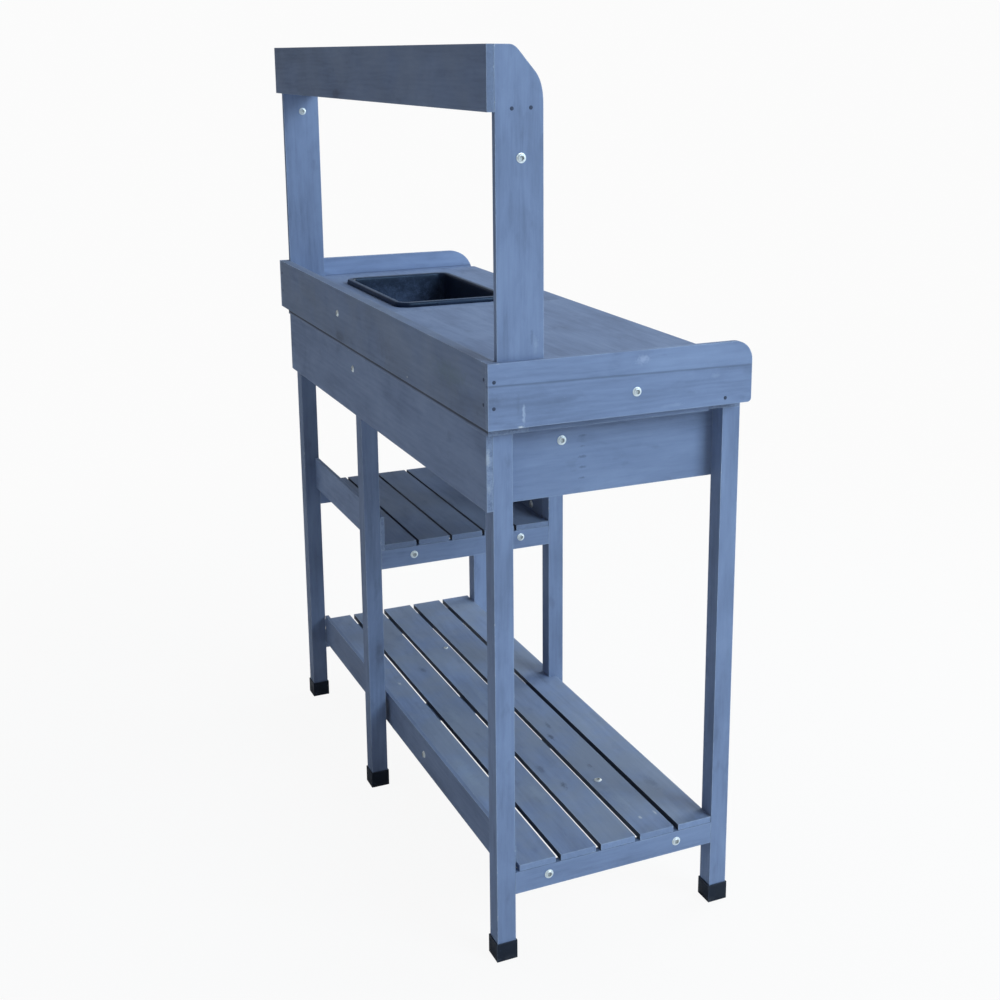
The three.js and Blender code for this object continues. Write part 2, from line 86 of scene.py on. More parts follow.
# ---------------------------------------------------------------- node graphs
class Graph:
    """The node tree of a material or a world, with short calls for the nodes used here."""

    def __init__(self, owner):
        self.owner = owner
        owner.use_nodes = True
        self.tree = owner.node_tree
        self.tree.nodes.clear()

    def add(self, kind, sockets=None, **settings):
        """A new node. A socket takes either a number or colour, or another node's output."""
        node = self.tree.nodes.new(kind)
        for key, value in settings.items():
            setattr(node, key, value)
        for key, value in (sockets or {}).items():
            self.feed(node.inputs[key], value)
        return node

    def feed(self, socket, value):
        if isinstance(value, bpy.types.NodeSocket):
            self.tree.links.new(value, socket)
        else:
            socket.default_value = value

    def math(self, operation, a, b=0.0):
        return self.add("ShaderNodeMath", {0: a, 1: b}, operation=operation).outputs[0]

    def plus(self, a, b):
        return self.math("ADD", a, b)

    def minus(self, a, b):
        return self.math("SUBTRACT", a, b)

    def times(self, a, b):
        return self.math("MULTIPLY", a, b)

    def vector(self, operation, a, b=(0, 0, 0)):
        node = self.add("ShaderNodeVectorMath", {0: a, 1: b}, operation=operation)
        return node.outputs["Value" if operation in ("LENGTH", "DOT_PRODUCT") else "Vector"]

    def noise(self, vector, scale, detail=3.0, rough=0.5, distort=0.0):
        sockets = {
            "Vector": vector, "Scale": scale, "Detail": detail, "Roughness": rough,
            "Distortion": distort,
        }
        return self.add("ShaderNodeTexNoise", sockets).outputs["Fac"]

    def remap(self, value, low, high, to_low=0.0, to_high=1.0):
        """Smooth step from to_low, where the value is low, to to_high, where it is high."""
        sockets = {
            "Value": value, "From Min": low, "From Max": high, "To Min": to_low, "To Max": to_high,
        }
        node = self.add("ShaderNodeMapRange", sockets, interpolation_type="SMOOTHSTEP")
        return node.outputs["Result"]

    def mix(self, factor, a, b):
        node = self.add("ShaderNodeMix", data_type="RGBA")
        self.feed(node.inputs[0], factor)
        colours = [socket for socket in node.inputs if socket.type == "RGBA"]
        for socket, value in zip(colours, (a, b)):
            self.feed(socket, value)
        return next(socket for socket in node.outputs if socket.type == "RGBA")

    def lay(self, under, over, mask, strength):
        """Lays one colour over another where the mask is 1, at most as strongly as it says."""
        return self.mix(self.times(mask, strength), under, over)

    def ramp(self, factor, stops):
        node = self.add("ShaderNodeValToRGB", {"Fac": factor})
        elements = node.color_ramp.elements
        while len(elements) < len(stops):
            elements.new(0.5)
        for element, (position, colour) in zip(elements, stops):
            element.position = position
            element.color = (*colour, 1.0)
        return node.outputs["Color"]

    def bump(self, height, strength, distance):
        sockets = {"Height": height, "Strength": strength, "Distance": distance}
        return self.add("ShaderNodeBump", sockets).outputs["Normal"]

    def object_place(self):
        return self.add("ShaderNodeTexCoord").outputs["Object"]

    def height_of(self, coords):
        return self.add("ShaderNodeSeparateXYZ", {"Vector": coords}).outputs["Z"]

    def facing(self, normal, direction, low, high):
        """1 on faces turned towards a direction, 0 on the others."""
        return self.remap(self.vector("DOT_PRODUCT", normal, direction), low, high)

    def edges(self, radius):
        """1 along the edges of a piece, 0 on its faces."""
        rounded = self.add("ShaderNodeBevel", {"Radius": radius}, samples=6).outputs["Normal"]
        true_normal = self.add("ShaderNodeNewGeometry").outputs["True Normal"]
        lean = self.minus(1.0, self.vector("DOT_PRODUCT", rounded, true_normal))
        return self.remap(lean, 0.01, 0.22)

    def finish(self, **sockets):
        """Ends a material in one Principled shader; an underscore stands for a space."""
        named = {key.replace("_", " "): value for key, value in sockets.items()}
        shader = self.add("ShaderNodeBsdfPrincipled", named)
        self.add("ShaderNodeOutputMaterial", {"Surface": shader.outputs[0]})
        return self.owner


def new_graph(name):
    """An empty graph on a new material."""
    return Graph(bpy.data.materials.new(name))


def rgb(colour, gain=1.0):
    return tuple(channel * gain for channel in colour)


def rgba(colour, gain=1.0):
    return (*rgb(colour, gain), 1.0)


# ---------------------------------------------------------------- stained wood
STAIN_DARK = (0.098, 0.134, 0.222)
STAIN_MID = (0.148, 0.203, 0.332)
STAIN_LIGHT = (0.190, 0.258, 0.405)
STAIN_GREY = (0.170, 0.205, 0.262)
END_DARK = (0.088, 0.125, 0.215)
END_LIGHT = (0.215, 0.275, 0.400)
# Rubbed-through stain; along the edges it is also a painted highlight
WORN_AND_SHEEN = (0.335, 0.405, 0.520)
CHIPPED = (0.50, 0.53, 0.56)
KNOT_HEART = (0.055, 0.07, 0.115)
UNLIT = (0.016, 0.020, 0.034)
GAP_SIDE = (0.012, 0.017, 0.032)

# End grain: place on the ramp and colour, for a sawn end and for one stained like the faces
SAWN_END = ((0.36, END_DARK), (0.70, END_LIGHT))
QUIET_END = ((0.10, STAIN_DARK), (0.95, STAIN_LIGHT))

GRAIN_TURN = {"x": (0.0, 0.0, 0.0), "y": (0.0, 0.0, -math.pi / 2), "z": (0.0, math.pi / 2, 0.0)}
GRAIN_AXIS = {"x": (1.0, 0.0, 0.0), "y": (0.0, 1.0, 0.0), "z": (0.0, 0.0, 1.0)}
# How far the board above a seam is moved in the grain's pattern, so that the two differ
OTHER_BOARD = (2.3, 0.61, 0.37)
# Height over which an unlit strip under an overhanging board comes to its full darkness
GLOOM_HEIGHT = 0.0018

Mark = namedtuple("Mark", "at radii colour strength")


def spot(g, coords, centre, radii, soft=0.8):
    """A soft-edged, ragged blob round a place on the piece: 1 inside, 0 outside."""
    offset = g.vector("SUBTRACT", coords, tuple(centre))
    scaled = g.vector("DIVIDE", offset, tuple(radii))
    ragged = g.times(g.noise(coords, 75.0, 3.0, 0.6), 1.5)
    torn = g.times(g.noise(coords, 330.0, 3.0, 0.7), 1.3)
    reach = g.plus(g.vector("LENGTH", scaled), g.plus(ragged, torn))
    return g.remap(reach, 2.25, 2.25 - soft)


def glued_seam(g, coords, height, fall, back):
    """The line of a seam that falls away from the back, and a vector of ones above it."""
    parts = g.add("ShaderNodeSeparateXYZ", {"Vector": coords}).outputs
    drop = g.times(g.minus(back, parts["Y"]), fall)
    over = g.minus(parts["Z"], g.minus(height, drop))
    above = g.math("GREATER_THAN", over, 0.0)
    line = g.remap(g.math("ABSOLUTE", over), 0.0024, 0.0003)
    return line, g.add("ShaderNodeCombineXYZ", dict.fromkeys("XYZ", above)).outputs[0]


def growth_rings(g, turned, along, draw):
    """Rings round a pith outside the board, wandering along the grain."""
    pith = (along, draw.uniform(-0.05, 0.05), draw.uniform(0.03, 0.09))
    wander = g.vector("MULTIPLY", g.vector("ADD", turned, pith), (0.16, 1.0, 1.0))
    sockets = {
        "Vector": wander, "Scale": draw.uniform(26, 40), "Distortion": 16.0, "Detail": 4.0,
        "Detail Scale": 0.55, "Detail Roughness": 0.6, "Phase Offset": draw.uniform(0, 6),
    }
    return g.add(
        "ShaderNodeTexWave", sockets, wave_type="RINGS", rings_direction="X", wave_profile="SIN",
    ).outputs["Fac"]


def lay_knots(g, placed, colour, tone, strength):
    """A few small knots, each a dark heart in a fainter halo."""
    sockets = {
        "Vector": g.vector("MULTIPLY", placed, (2.6, 7.4, 7.4)), "Scale": 1.0, "Randomness": 1.0,
    }
    distance = g.add("ShaderNodeTexVoronoi", sockets, feature="F1").outputs["Distance"]
    heart = g.remap(distance, 0.085, 0.03)
    halo = g.remap(distance, 0.19, 0.06)
    ragged = g.noise(placed, 130.0, 4.0, 0.7)
    colour = g.lay(colour, rgba(STAIN_DARK, tone * 0.9), g.times(halo, ragged), strength)
    return g.lay(colour, rgba(KNOT_HEART, tone), g.times(heart, ragged), strength * 1.7)


def wood(name, grain, tone, seed, seam=None, marks=(), recesses=(), shaded=(), knots=0.55,
         quiet_ends=False, weathered=0.0):
    """Blue-grey stain over softwood whose grain runs along one axis of the bench.

    seam:        height, fall and back face of a seam between two boards glued edge to edge
    marks:       stains, rubbed patches, scratches and painted shadows at their places on the piece
    recesses:    direction and lowest height of each unlit strip under an overhanging board
    shaded:      directions that the sides of a narrow gap face
    knots:       how strongly the knots show
    quiet_ends:  whether the end grain is stained nearly as evenly as the faces
    weathered:   how far the stain has gone grey in places
    """
    draw = random.Random(seed)
    g = new_graph(name)
    source = g.add("ShaderNodeTexCoord")
    coords, normal = source.outputs["Object"], source.outputs["Normal"]
    offset = tuple(draw.uniform(-7, 7) for _ in range(3))
    lean = tuple(angle + draw.uniform(-0.012, 0.012) for angle in GRAIN_TURN[grain])
    turned = g.add("ShaderNodeMapping", {"Vector": coords, "Rotation": lean}).outputs["Vector"]
    placed = g.vector("ADD", turned, offset)
    seam_line = None
    if seam is not None:
        seam_line, above = glued_seam(g, coords, *seam)
        placed = g.vector("ADD", placed, g.vector("MULTIPLY", above, OTHER_BOARD))

    def drawn_out(along, across, detail, rough, distort=0.0):
        """Noise at one scale along the grain and at a finer one across it."""
        stretched = g.vector("MULTIPLY", placed, (along, across, across))
        return g.noise(stretched, 1.0, detail, rough, distort)

    rings = growth_rings(g, turned, offset[0], draw)
    streaks = drawn_out(11.0, 170.0, 4.0, 0.65, 0.3)
    bands = drawn_out(2.6, 24.0, 5.0, 0.6, 0.9)
    clouds = drawn_out(6.5, 13.0, 5.0, 0.62, 0.5)
    pores = drawn_out(38.0, 1100.0, 2.0, 0.5)
    blots = drawn_out(19.0, 42.0, 3.0, 0.5)

    shade = g.plus(g.times(rings, 0.055), 0.47)
    for part, weight in ((streaks, 0.34), (bands, 0.46), (clouds, 0.78)):
        shade = g.plus(shade, g.times(g.minus(part, 0.5), weight))
    stops = ((0.18, STAIN_DARK), (0.50, STAIN_MID), (0.84, STAIN_LIGHT))
    colour = g.ramp(shade, [(position, rgb(stain, tone)) for position, stain in stops])

    # Stain gone grey in places, stain that soaked in deeper, and knots
    if weathered:
        grey = g.remap(g.noise(placed, 9.0, 5.0, 0.65), 0.34, 0.62)
        colour = g.lay(colour, rgba(STAIN_GREY, tone), grey, weathered)
    soaked = g.remap(blots, 0.60, 0.76)
    colour = g.lay(colour, rgba(STAIN_DARK, tone * 0.82), soaked, 0.34)
    colour = lay_knots(g, placed, colour, tone, knots)

    # End grain
    lengthwise = g.math("ABSOLUTE", g.vector("DOT_PRODUCT", normal, GRAIN_AXIS[grain]))
    ends = g.remap(lengthwise, 0.72, 0.9)
    fibres = g.noise(placed, 420.0, 3.0, 0.65)
    rough_end = g.noise(placed, 95.0, 4.0, 0.7)
    end_shade = g.plus(g.times(fibres, 0.45), g.times(rough_end, 0.6))
    stops = QUIET_END if quiet_ends else SAWN_END
    end_colour = g.ramp(end_shade, [(position, rgb(stain, tone)) for position, stain in stops])
    colour = g.mix(ends, colour, end_colour)

    # What belongs to this board alone
    if seam_line is not None:
        colour = g.lay(colour, rgba(STAIN_DARK, tone * 0.5), seam_line, 0.42)
    for mark in marks:
        there = spot(g, coords, mark.at, mark.radii)
        colour = g.lay(colour, rgba(mark.colour), there, mark.strength)
    for direction, low in recesses:
        strip = g.remap(g.height_of(coords), low, low + GLOOM_HEIGHT)
        gloom = g.times(strip, g.facing(normal, direction, 0.5, 0.8))
        colour = g.lay(colour, rgba(UNLIT), gloom, 0.88)
    for direction in shaded:
        colour = g.lay(colour, rgba(GAP_SIDE), g.facing(normal, direction, 0.6, 0.9), 0.86)

    # Edges where the stain is thin or rubbed through; their lightening is also a painted highlight
    edge = g.edges(0.0032)
    patchy = g.remap(g.noise(placed, 46.0, 4.0, 0.65), 0.30, 0.62, 0.25, 1.0)
    worn_and_highlit = g.times(edge, patchy)
    colour = g.lay(colour, rgba(WORN_AND_SHEEN, tone), worn_and_highlit, 0.58)
    chips = g.times(edge, g.remap(g.noise(placed, 115.0, 2.0, 0.5), 0.66, 0.72))
    colour = g.lay(colour, rgba(CHIPPED), chips, 0.7)
    flecks = g.remap(g.noise(placed, 520.0, 1.0), 0.785, 0.815)
    colour = g.lay(colour, rgba(WORN_AND_SHEEN, tone), flecks, 0.35)

    rough = g.plus(g.remap(shade, 0.2, 0.8, 0.74, 0.60), g.times(worn_and_highlit, 0.10))
    relief = g.plus(g.times(streaks, 0.55), g.times(pores, 0.35))
    relief = g.plus(relief, g.times(rings, 0.20))
    relief = g.plus(relief, g.times(g.times(ends, rough_end), 2.4))
    relief = g.minus(relief, g.times(chips, 0.8))
    if seam_line is not None:
        relief = g.minus(relief, g.times(seam_line, 1.6))
    return g.finish(Base_Color=colour, Roughness=rough, Normal=g.bump(relief, 0.50, 0.00045))


# ---------------------------------------------------------------- other materials
def moulded_plastic(name, crest_z, reflection_wall):
    """Black plastic with a painted highlight along the rim, whose top is at crest_z, and a painted
    reflection on one wall.
    """
    g = new_graph(name)
    coords = g.object_place()
    grain = g.noise(coords, 900.0, 2.0, 0.6)
    cloud = g.noise(coords, 14.0, 4.0, 0.6)
    scuffs = g.noise(g.vector("MULTIPLY", coords, (260.0, 40.0, 60.0)), 1.0, 3.0, 0.6)
    colour = g.ramp(cloud, [(0.30, (0.0034, 0.0062, 0.0165)), (0.75, (0.0090, 0.0150, 0.0360))])
    # Painted sheen: the edges are made lighter
    colour = g.lay(colour, rgba((0.045, 0.065, 0.095)), g.edges(0.002), 0.20)
    # Painted highlight: a pale line along the top of the rolled rim
    crest = g.remap(g.height_of(coords), crest_z - 0.0011, crest_z - 0.0001)
    colour = g.lay(colour, rgba((0.075, 0.105, 0.165)), crest, 0.75)
    # Painted reflection: a lighter patch on the far wall stands in for light the glossy plastic
    # reflects there
    painted_reflection = spot(g, coords, reflection_wall, (0.030, 0.150, 0.060), 1.2)
    colour = g.lay(colour, rgba((0.046, 0.066, 0.125)), painted_reflection, 0.85)
    dust = g.remap(g.noise(coords, 60.0, 5.0, 0.7), 0.50, 0.80)
    colour = g.lay(colour, rgba((0.10, 0.14, 0.19)), dust, 0.07)
    rough = g.plus(g.remap(cloud, 0.3, 0.7, 0.34, 0.50), g.times(dust, 0.16))
    relief = g.plus(grain, g.times(g.remap(scuffs, 0.62, 0.72), -1.4))
    return g.finish(
        Base_Color=colour, Roughness=rough, Specular_IOR_Level=0.30,
        Specular_Tint=(0.50, 0.72, 1.0, 1.0), Normal=g.bump(relief, 0.35, 0.00025),
    )


def cap_rubber(name):
    """Dull black rubber, dusty with soil near the ground, scuffed in patches and with a painted
    highlight along its edges.
    """
    g = new_graph(name)
    coords = g.object_place()
    grain = g.noise(coords, 700.0, 3.0, 0.6)
    cloud = g.noise(coords, 32.0, 4.0, 0.6)
    colour = g.ramp(cloud, [(0.30, (0.0030, 0.0040, 0.0080)), (0.72, (0.0085, 0.0105, 0.0180))])
    soil = g.times(g.remap(g.height_of(coords), 0.012, 0.0), g.remap(cloud, 0.4, 0.7))
    colour = g.lay(colour, rgba((0.12, 0.115, 0.11)), soil, 0.30)
    # Painted highlight: the edges are made lighter where a glossy highlight runs
    colour = g.lay(colour, rgba((0.085, 0.095, 0.120)), g.edges(0.0020), 0.55)
    scuffs = g.remap(g.noise(coords, 150.0, 3.0, 0.6), 0.64, 0.72)
    colour = g.lay(colour, rgba((0.060, 0.070, 0.095)), scuffs, 0.45)
    return g.finish(
        Base_Color=colour, Roughness=g.remap(cloud, 0.3, 0.7, 0.50, 0.72),
        Specular_IOR_Level=0.35, Specular_Tint=(0.62, 0.78, 1.0, 1.0),
        Normal=g.bump(grain, 0.4, 0.0003),
    )


def zinc_plate(name, tone=1.0):
    """Zinc plating with a faint spangle and tarnished patches."""
    g = new_graph(name)
    coords = g.object_place()
    sockets = {"Vector": coords, "Scale": 620.0}
    spangle = g.add("ShaderNodeTexVoronoi", sockets, feature="F1").outputs["Color"]
    cloud = g.noise(coords, 260.0, 4.0, 0.65)
    dull, bright = rgb((0.60, 0.63, 0.62), tone), rgb((0.86, 0.90, 0.90), tone)
    colour = g.ramp(cloud, [(0.30, dull), (0.72, bright)])
    tarnish = g.remap(g.noise(coords, 420.0, 3.0, 0.6), 0.60, 0.74)
    colour = g.lay(colour, rgba((0.42, 0.43, 0.41), tone), tarnish, 0.35)
    shimmer = g.vector("DOT_PRODUCT", spangle, (0.33, 0.33, 0.33))
    return g.finish(
        Base_Color=colour, Roughness=g.remap(shimmer, 0.2, 0.8, 0.36, 0.56), Metallic=0.55,
        Normal=g.bump(cloud, 0.25, 0.0002),
    )


def nail_steel(name):
    """Dark nail steel with some of the stain on it."""
    g = new_graph(name)
    cloud = g.noise(g.object_place(), 900.0, 3.0, 0.6)
    colour = g.ramp(cloud, [(0.3, (0.016, 0.024, 0.050)), (0.7, (0.050, 0.068, 0.115))])
    return g.finish(
        Base_Color=colour, Roughness=g.remap(cloud, 0.3, 0.7, 0.5, 0.8), Metallic=0.3,
        Normal=g.bump(cloud, 0.4, 0.0002),
    )


basin_low, basin_high = span("sink_basin")
basin_middle = (basin_low + basin_high) / 2
far_wall = (basin_high.x - 0.016, basin_middle.y, basin_high.z - 0.050)
plastic = moulded_plastic("basin_plastic", basin_high.z, far_wall)
rubber = cap_rubber("foot_rubber")
zinc = zinc_plate("zinc")
# Painted shade: a darker copy of the zinc for the inside of the hex sockets
zinc_socket_painted_shade = zinc_plate("zinc_socket_painted_shade", 0.50)
dark_steel = nail_steel("nail_steel")

# ---------------------------------------------------------------- places on the bench
legs_left = span("leg_back_left")[0].x
legs_back = span("leg_back_left")[1].y
end_left = span("end_panel_left")[0].x
end_right = span("end_panel_right")[1].x
end_back = span("end_panel_left")[1].y
panel_back = span("back_panel")[1].y
upright_left, upright_front = span("upright_left")[0].x, span("upright_left")[0].y
apron_left, apron_back = span("apron_left")[0].x, span("apron_left")[1].y
back_apron_left, back_apron_face = span("apron_back")[0].x, span("apron_back")[1].y
slat_top = span("lower_slat_1")[1].z


def from_left(value):
    """X of a place so many metres to the right of the left legs' outer face."""
    return legs_left + value


def depth(value):
    """Y of a place so many metres in front of the back face of the back legs."""
    return legs_back - value


# ---------------------------------------------------------------- marks on the boards
DARK_SPOT = (0.050, 0.070, 0.118)
GREY_SPECK = (0.46, 0.50, 0.53)
RUBBED = (0.235, 0.300, 0.385)
FADED = (0.27, 0.34, 0.47)
# Depth of a mark into the board, which only has to reach past its surface
SLAT_MARK_DEPTH = 0.01
# Height of the end panels' glued seam at their back, and its fall per metre from there
SEAM_HEIGHT, SEAM_FALL = 0.9100, 0.0125
# Heights above which the work surface's frame is unlit, under the back and end panels
UNDER_PANEL = 0.8372
UNDER_END_PANEL = 0.8412

end_panel_marks = [
    Mark((end_left, end_back - 0.241, 0.928), (0.02, 0.020, 0.0105), (0.30, 0.36, 0.50), 0.55),
    Mark((end_left, end_back - 0.053, 0.868), (0.02, 0.0035, 0.024), (0.37, 0.44, 0.56), 0.55),
    Mark((end_left, end_back - 0.045, 0.880), (0.02, 0.0045, 0.030), (0.095, 0.130, 0.21), 0.50),
    Mark((end_left, end_back - 0.360, 0.893), (0.02, 0.013, 0.006), FADED, 0.25),
    Mark((end_left, end_back - 0.049, 0.849), (0.02, 0.006, 0.004), (0.55, 0.57, 0.58), 0.85),
    Mark((end_left, end_back - 0.290, 0.856), (0.02, 0.030, 0.004), FADED, 0.25),
]
# A ladder of short dark strokes, one above the other
apron_marks = [
    Mark(
        (apron_left, apron_back - 0.154, 0.745 + 0.016 * i), (0.02, 0.010, 0.0030),
        (0.075, 0.105, 0.175), 0.75,
    )
    for i in range(5)
]
back_apron_marks = [
    Mark(
        (back_apron_left, back_apron_face - 0.002, 0.800), (0.006, 0.006, 0.024),
        (0.36, 0.40, 0.45), 0.55,
    ),
    Mark(
        (back_apron_left, back_apron_face - 0.003, 0.757), (0.006, 0.004, 0.014),
        (0.30, 0.34, 0.40), 0.35,
    ),
]
upright_marks = [
    Mark(
        (upright_left, upright_front + 0.012, 0.962), (0.02, 0.006, 0.018),
        (0.30, 0.37, 0.48), 0.30,
    ),
    Mark(
        (upright_left, upright_front + 0.018, 0.972), (0.02, 0.003, 0.014),
        (0.085, 0.118, 0.195), 0.50,
    ),
]
back_panel_marks = [
    Mark((from_left(0.306), panel_back, 0.857), (0.005, 0.02, 0.003), GREY_SPECK, 0.9),
    Mark((from_left(0.120), panel_back, 0.900), (0.120, 0.02, 0.030), (0.105, 0.150, 0.190), 0.55),
    Mark((from_left(0.420), panel_back, 0.885), (0.070, 0.02, 0.035), (0.085, 0.105, 0.160), 0.45),
    Mark((from_left(0.860), panel_back, 0.900), (0.110, 0.02, 0.030), (0.105, 0.130, 0.175), 0.40),
]


def slat_mark(x, y, half_length, half_width, colour, strength):
    """A mark on a lower slat's top, at x from the left legs and y from the legs' back."""
    radii = (half_length, half_width, SLAT_MARK_DEPTH)
    return Mark((from_left(x), depth(y), slat_top), radii, colour, strength)


SLAT_MARKS = {
    1: [
        slat_mark(0.691, 0.0824, 0.012, 0.004, GREY_SPECK, 0.6),
        slat_mark(0.300, 0.070, 0.090, 0.016, RUBBED, 0.35),
    ],
    2: [
        slat_mark(0.733, 0.145, 0.018, 0.010, DARK_SPOT, 0.55),
        slat_mark(0.520, 0.128, 0.070, 0.014, RUBBED, 0.30),
        slat_mark(0.180, 0.150, 0.080, 0.016, RUBBED, 0.30),
    ],
    3: [
        slat_mark(0.195, 0.201, 0.020, 0.011, DARK_SPOT, 0.75),
        slat_mark(0.262, 0.190, 0.026, 0.008, DARK_SPOT, 0.45),
        slat_mark(0.560, 0.205, 0.090, 0.012, RUBBED, 0.35),
    ],
    4: [
        slat_mark(0.362, 0.256, 0.018, 0.007, DARK_SPOT, 0.85),
        slat_mark(0.405, 0.270, 0.030, 0.006, DARK_SPOT, 0.55),
        slat_mark(0.235, 0.272, 0.022, 0.007, DARK_SPOT, 0.50),
        slat_mark(0.047, 0.269, 0.007, 0.004, GREY_SPECK, 0.75),
        slat_mark(0.050, 0.298, 0.010, 0.003, GREY_SPECK, 0.65),
        slat_mark(0.120, 0.268, 0.080, 0.018, RUBBED, 0.30),
    ],
    5: [
        # Painted shadows: darker patches where the legs' shadows fall on the fifth slat
        slat_mark(0.600, 0.345, 0.060, 0.012, DARK_SPOT, 0.30),
        slat_mark(0.140, 0.340, 0.040, 0.014, DARK_SPOT, 0.30),
    ],
}

# ---------------------------------------------------------------- the boards
# What a board's finish has besides the common one
FINISHES = {
    "end_panel_left": {"seam": (SEAM_HEIGHT, SEAM_FALL, end_back), "marks": end_panel_marks},
    "end_panel_right": {"seam": (SEAM_HEIGHT - 0.006, -SEAM_FALL, end_back)},
    "apron_left": {"marks": apron_marks, "knots": 0.0},
    "apron_back": {"marks": back_apron_marks},
    "table_frame_back": {"recesses": ((BACK, UNDER_PANEL), (LEFT, UNDER_END_PANEL))},
    "table_frame_left": {"recesses": ((LEFT, UNDER_END_PANEL),)},
    "upright_left": {"marks": upright_marks},
    "top_rail": {"quiet_ends": True, "weathered": 0.25},
    "back_panel": {"weathered": 0.35, "marks": back_panel_marks},
}
SLATS = range(1, 6)
for number in SLATS:
    gaps = tuple(
        side for side, beside in ((FRONT, number + 1), (BACK, number - 1)) if beside in SLATS
    )
    common = {"shaded": gaps, "quiet_ends": True}
    FINISHES[f"lower_slat_{number}"] = {**common, "weathered": 0.62, "marks": SLAT_MARKS[number]}
    FINISHES[f"upper_slat_{number}"] = {**common, "weathered": 0.35}

# Lightness of each board, by the longest of these that its name starts with. It is partly the
# board's own tone and partly painted shade: boards seen in shadow, such as the back panel, the top
# rail and the upper slats, are made darker.
LIGHTNESS_AND_SHADE = {
    "leg": 0.95, "leg_back_middle": 0.84, "leg_back_right": 0.78, "leg_front_left": 0.90,
    "leg_front_middle": 0.90, "end_panel": 0.95, "end_panel_right": 1.18, "back_panel": 0.82,
    "apron": 0.93, "apron_left": 0.90, "apron_right": 0.90, "top_rail": 0.80,
    "upright": 0.95, "upright_right": 1.04, "table_board": 1.0, "table_board_left": 0.92,
    "table_front": 0.98, "table_frame": 0.86, "lower_slat": 1.06, "upper_slat": 0.80,
    "lower_guard": 0.84, "upper_guard_front": 0.70,
}
USUAL_TONE = 0.95
# Width of a board's eased edges in millimetres, found in the same way
EASED_EDGES = {
    "leg": 1.4, "upright": 1.6, "end_panel": 1.3, "back_panel": 1.6, "lower_slat": 1.7,
    "upper_slat": 1.7,
}
USUAL_EASED_EDGE = 1.1
GRAIN_ALONG_Y = (
    "end_panel", "apron_left", "apron_right", "cross_rail", "table_batten", "table_frame_left",
    "table_frame_right",
)
GRAIN_ALONG_Z = ("leg_", "upright_left", "upright_right")
FIRST_WOOD_SEED = 100


def closest(table, name, usual):
    """The table's value for the longest key that the name starts with, or the usual one."""
    keys = [key for key in table if name.startswith(key)]
    return table[max(keys, key=len)] if keys else usual


def grain_of(name):
    """The axis that a board's grain runs along."""
    if any(key in name for key in GRAIN_ALONG_Y):
        return "y"
    if name.startswith(GRAIN_ALONG_Z):
        return "z"
    return "x"


def dress(piece, material, width, segments=3, angle=35):
    """Gives a CAD solid its material and eases its edges by a width in millimetres."""
    piece.data.materials.clear()
    piece.data.materials.append(material)
    piece.data.shade_smooth()
    bevel = piece.modifiers.new("eased_edges", "BEVEL")
    bevel.width = width * MM
    bevel.segments = segments
    bevel.limit_method = "ANGLE"
    bevel.angle_limit = math.radians(angle)
    bevel.harden_normals = True


for number, (name, piece) in enumerate(sorted(nodes.items())):
    if name == "sink_basin":
        continue
    if name.startswith("foot_cap"):
        dress(piece, rubber, 0.9)
    elif "bolt" in name:
        dress(piece, zinc, 0.25, 2, 40)
    else:
        tone = closest(LIGHTNESS_AND_SHADE, name, USUAL_TONE) * rng.uniform(0.95, 1.05)
        seed = FIRST_WOOD_SEED + number
        material = wood(
            f"stained_{name}", grain_of(name), tone, seed, **FINISHES.get(name, {})
        )
        dress(piece, material, closest(EASED_EDGES, name, USUAL_EASED_EDGE))


# ---------------------------------------------------------------- mesh helpers
def new_piece(name, bm, material, body="bench"):
    """Makes a visual piece of a mesh, which rides on a body and takes a slot's finish."""
    mesh = bpy.data.meshes.new(name)
    bmesh.ops.recalc_face_normals(bm, faces=bm.faces)
    bm.to_mesh(mesh)
    bm.free()
    mesh.materials.append(material)
    mesh.shade_smooth()
    piece = bpy.data.objects.new(name, mesh)
    scene.collection.objects.link(piece)
    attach(piece, body)
    return piece


def loft(loops):
    """Skin over closed loops that all have the same number of points, with both ends closed."""
    bm = bmesh.new()
    rows = [[bm.verts.new(point) for point in loop] for loop in loops]
    count = len(rows[0])
    for low, high in zip(rows, rows[1:]):
        for i in range(count):
            j = (i + 1) % count
            bm.faces.new((low[i], low[j], high[j], high[i]))
    bm.faces.new(list(reversed(rows[0])))
    bm.faces.new(rows[-1])
    return bm


def place(bm, centre, outward):
    """Turns a piece made upright so that its top faces outward, and moves it to its place."""
    turned = Vector(UP).rotation_difference(Vector(outward)).to_matrix().to_4x4()
    bm.transform(Matrix.Translation(centre) @ turned)


def circle(radius, height, count=24, hexagon=False):
    """A closed ring of points round the Z axis; a hexagon has its corners on the circle."""
    points = []
    for i in range(count):
        angle = 2 * math.pi * i / count
        reach = radius
        if hexagon:
            reach *= math.cos(math.pi / 6) / math.cos((angle % (math.pi / 3)) - math.pi / 6)
        points.append((reach * math.cos(angle), reach * math.sin(angle), height))
    return points


# ---------------------------------------------------------------- bolts, screws and nails
WASHER = 0.8 * MM
SOCKET_SHARE = 0.56
NAIL_RADIUS = 2.2 * MM
NAIL_SIDES = 16


